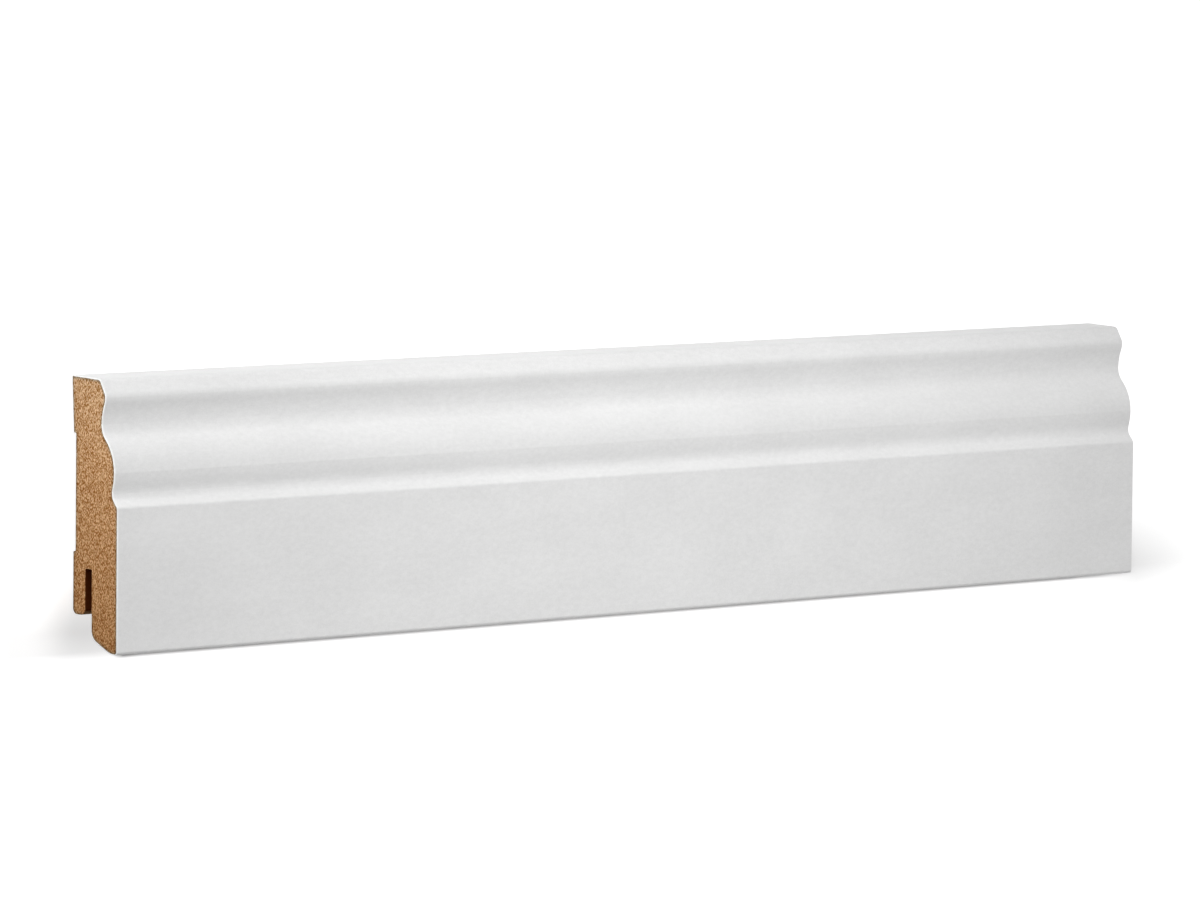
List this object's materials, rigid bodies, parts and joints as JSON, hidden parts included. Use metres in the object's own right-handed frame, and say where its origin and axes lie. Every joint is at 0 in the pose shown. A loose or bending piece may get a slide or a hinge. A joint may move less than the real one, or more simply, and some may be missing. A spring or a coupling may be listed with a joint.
{
  "type": "skirting board length",
  "caption": "Short length of skirting board: MDF profile with a white foil over its moulded front, toe bevel, clip groove and relieved back.",
  "frame": {"origin": "under the middle of the board, level with the rearmost edge of its back, on which it lies", "axes": "+X along the board, +Y towards its top edge, +Z out of its moulded front"},
  "size_m": [0.425, 0.08, 0.0209],
  "materials": {
    "mdf": "raw sawn and milled MDF, fine brown fibre",
    "foil": "white satin decor foil"
  },
  "bodies": {
    "root": {"mdf_core": "mdf", "white_foil": "foil"}
  },
  "joints": []
}
